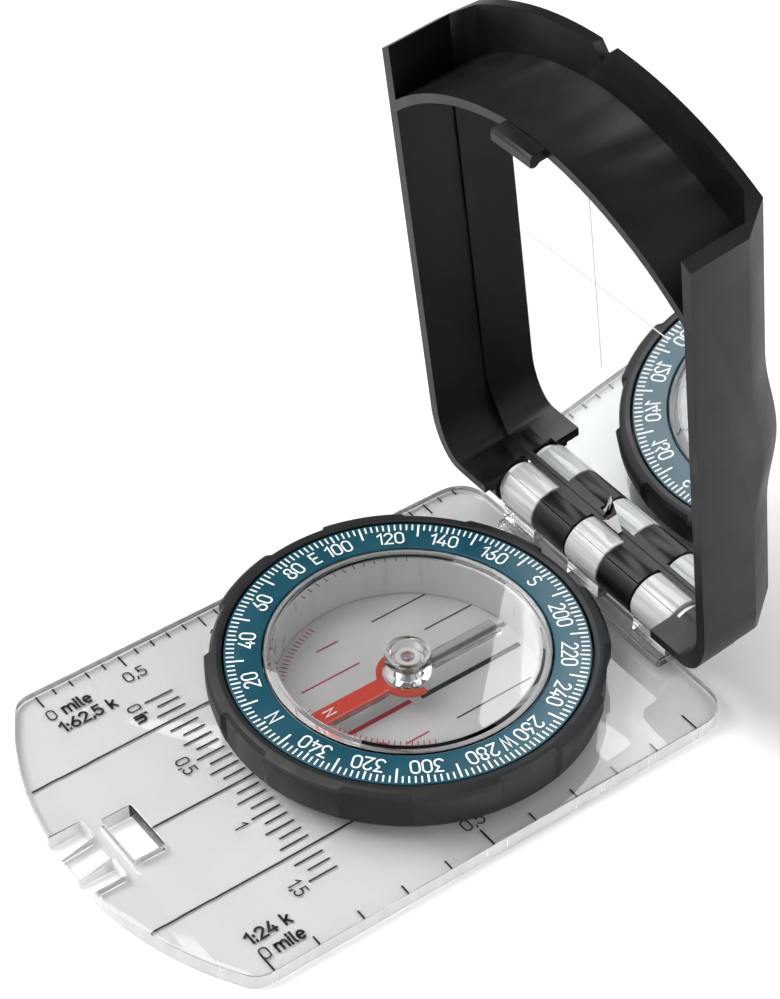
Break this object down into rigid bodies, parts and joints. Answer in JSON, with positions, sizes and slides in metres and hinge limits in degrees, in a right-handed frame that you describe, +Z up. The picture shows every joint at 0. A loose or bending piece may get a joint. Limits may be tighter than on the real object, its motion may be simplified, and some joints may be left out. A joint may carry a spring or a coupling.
{
  "type": "sighting compass",
  "caption": "Clear baseplate compass with a turning dial capsule, a magnetic needle and a hinged mirror cover with a sighting notch.",
  "frame": {"origin": "on the plate's underside, on the axis of the dial", "axes": "+X across the plate, +Y along the plate towards the hinge, +Z up out of the plate"},
  "size_m": [0.0578, 0.0913, 0.0907],
  "materials": {
    "clear_acrylic": "clear, polished",
    "steel": "smooth turned",
    "brass": "smooth turned",
    "black_rubber": "matt",
    "white_nylon": "satin",
    "grip_rubber": "satin, moulded",
    "blue_dial": "satin, printed in white",
    "grey_floor": "matt, printed lines",
    "seal_rubber": "matt",
    "needle_red": "satin",
    "smoke_plastic": "translucent grey",
    "jewel": "polished",
    "cover_black": "fine moulded grain",
    "mirror_silver": "silvered glass",
    "foam_pad": "soft foam"
  },
  "bodies": {
    "base": {"baseplate": "clear_acrylic", "hinge_pin": "steel", "friction_ring": "black_rubber", "hinge_washer_left": "white_nylon", "hinge_washer_right": "white_nylon"},
    "dial": {"grip_ring": "grip_rubber", "dial_ring": "blue_dial", "capsule_cup": "clear_acrylic", "floor_disc": "grey_floor", "capsule_dome": "clear_acrylic", "capsule_seal": "seal_rubber", "retainer_ring": "steel", "pivot_pin": "steel", "pivot_bush": "brass"},
    "needle": {"needle_north": "needle_red", "needle_south": "smoke_plastic", "hub_cup": "clear_acrylic", "jewel_collar": "white_nylon", "hub_jewel": "jewel", "needle_magnet": "steel"},
    "cover": {"cover_shell": "cover_black", "mirror_glass": "mirror_silver", "mirror_pad": "foam_pad"}
  },
  "joints": [
    {"name": "cover_hinge", "type": "hinge", "parent": "base", "child": "cover", "pos_m": [0, 0.0327, 0.0086], "axis": [-1, 0, 0], "range_deg": [-82.8, 97.2]},
    {"name": "dial_turn", "type": "hinge", "parent": "base", "child": "dial", "pos_m": [0, 0, 0], "axis": [0, 0, 1], "continuous": true},
    {"name": "needle_swing", "type": "hinge", "parent": "dial", "child": "needle", "pos_m": [0, 0, 0.0069], "axis": [0, 0, 1], "continuous": true}
  ]
}
